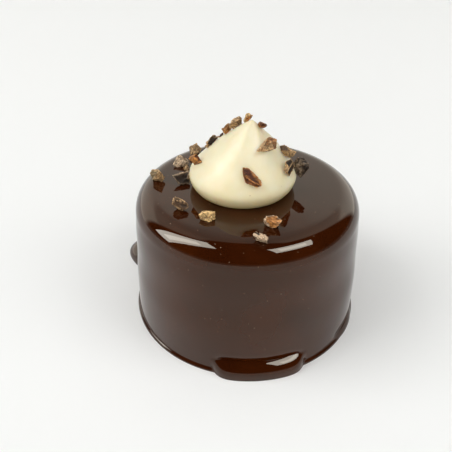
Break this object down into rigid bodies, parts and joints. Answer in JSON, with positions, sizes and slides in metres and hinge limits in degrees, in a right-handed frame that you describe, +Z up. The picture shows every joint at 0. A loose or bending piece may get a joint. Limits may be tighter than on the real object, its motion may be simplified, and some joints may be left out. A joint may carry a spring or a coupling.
{
  "type": "glazed chocolate cake",
  "caption": "Round single-portion chocolate cake under a mirror glaze that has pooled at the foot, with a piped kiss of cream and roasted cocoa nibs on top.",
  "frame": {"origin": "middle of the cake's flat base, on the axis of its round side", "axes": "+Z up; the front of the cake, with the long pool of glaze at its foot, faces -Y"},
  "size_m": [0.0804, 0.0758, 0.0641],
  "materials": {
    "chocolate_glaze": "mirror-smooth dark chocolate glaze",
    "cream": "smooth piped cream, soft sheen",
    "cocoa_nibs": "dry, pitted broken bean"
  },
  "bodies": {
    "root": {"glazed_cake": "chocolate_glaze", "cream": "cream"}
  },
  "joints": []
}
